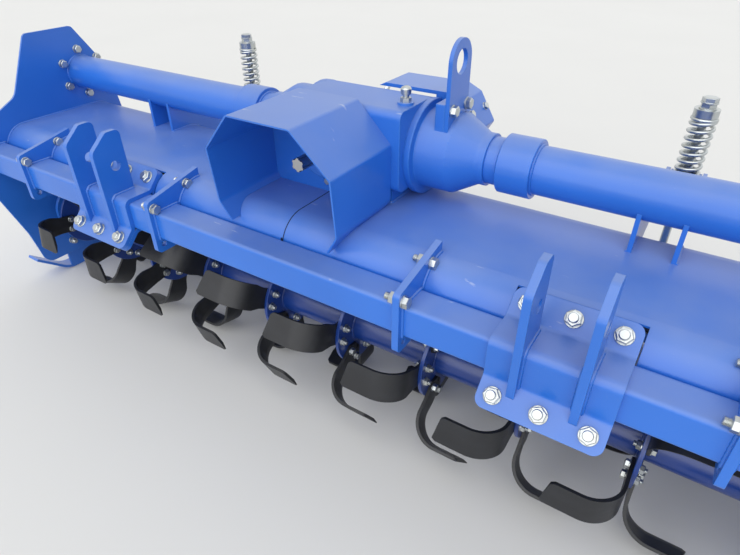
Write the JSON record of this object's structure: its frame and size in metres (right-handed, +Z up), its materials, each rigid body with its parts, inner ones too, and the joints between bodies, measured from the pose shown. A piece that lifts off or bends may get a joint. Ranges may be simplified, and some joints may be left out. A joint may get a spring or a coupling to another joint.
{
  "type": "rotavator",
  "caption": "Rotary tiller for a tractor: a square-tube frame, hood, gearbox and side drive over a rotor of bent blades, with a hinged levelling board on sprung rods.",
  "frame": {"origin": "on the ground, under the middle of the machine's length and width", "axes": "+X along the rotor to the drive case's end, +Y away from the tractor, +Z up"},
  "size_m": [2.684, 0.977, 1],
  "materials": {
    "blue_paint": "gloss paint",
    "black_blades": "satin black",
    "zinc_plated": "zinc plated",
    "bare_steel": "machined"
  },
  "bodies": {
    "frame": {"front_beam": "blue_paint", "beam_flanges": "blue_paint", "hood": "blue_paint", "hinge_bar": "blue_paint", "gearbox_housing": "blue_paint", "gearbox_guard": "blue_paint", "gearbox_front_plate": "blue_paint", "shaft_shield": "blue_paint", "axle_tube_right": "blue_paint", "axle_tube_left": "blue_paint", "drive_case": "blue_paint", "drive_cover": "blue_paint", "bearing_hub": "blue_paint", "lifting_lug": "blue_paint", "side_plate_right": "blue_paint", "side_plate_left": "blue_paint", "skid_right": "blue_paint", "skid_left": "blue_paint", "spring_arm_right": "blue_paint", "spring_arm_left": "blue_paint", "clamp_front_right": "blue_paint", "clamp_rear_right": "blue_paint", "hitch_ears_right": "blue_paint", "clamp_front_left": "blue_paint", "clamp_rear_left": "blue_paint", "hitch_ears_left": "blue_paint"},
    "rotor": {"blade_rotor": "black_blades", "rotor_stubs": "blue_paint"},
    "drive_shaft": {"input_shaft": "bare_steel"},
    "board": {"levelling_board": "blue_paint", "board_knuckles": "blue_paint", "rod_lugs": "blue_paint"},
    "swivel_right": {"guide_right": "blue_paint"},
    "rod_right": {"spring_rod_right": "zinc_plated", "spring_right": "zinc_plated"},
    "swivel_left": {"guide_left": "blue_paint"},
    "rod_left": {"spring_rod_left": "zinc_plated", "spring_left": "zinc_plated"}
  },
  "joints": [
    {"name": "rotor_spin", "type": "hinge", "parent": "frame", "child": "rotor", "pos_m": [0, -0.19989, 0.257], "axis": [1, 0, 0], "continuous": true},
    {"name": "drive_shaft_spin", "type": "hinge", "parent": "frame", "child": "drive_shaft", "pos_m": [0, -0.19989, 0.726], "axis": [0, -1, 0], "continuous": true},
    {"name": "board_hinge", "type": "hinge", "parent": "frame", "child": "board", "pos_m": [0, 0.15611, 0.488], "axis": [1, 0, 0], "range_deg": [0, 25]},
    {"name": "swivel_hinge_right", "type": "hinge", "parent": "frame", "child": "swivel_right", "pos_m": [0.783, 0.39998, 0.615], "axis": [1, 0, 0], "range_deg": [0, 18]},
    {"name": "rod_slide_right", "type": "slide", "parent": "swivel_right", "child": "rod_right", "axis": [0, 0, 1], "range_m": [0, 0.115]},
    {"name": "swivel_hinge_left", "type": "hinge", "parent": "frame", "child": "swivel_left", "pos_m": [-0.783, 0.39998, 0.615], "axis": [1, 0, 0], "range_deg": [0, 18]},
    {"name": "rod_slide_left", "type": "slide", "parent": "swivel_left", "child": "rod_left", "axis": [0, 0, 1], "range_m": [0, 0.115]}
  ],
  "couplings": [
    {"joint": "drive_shaft_spin", "follows": "rotor_spin", "ratio": 2.45},
    {"joint": "swivel_hinge_right", "follows": "board_hinge", "ratio": 0.7123},
    {"joint": "rod_slide_right", "follows": "board_hinge", "m_per_rad": 0.25775},
    {"joint": "swivel_hinge_left", "follows": "board_hinge", "ratio": 0.7123},
    {"joint": "rod_slide_left", "follows": "board_hinge", "m_per_rad": 0.25775}
  ]
}
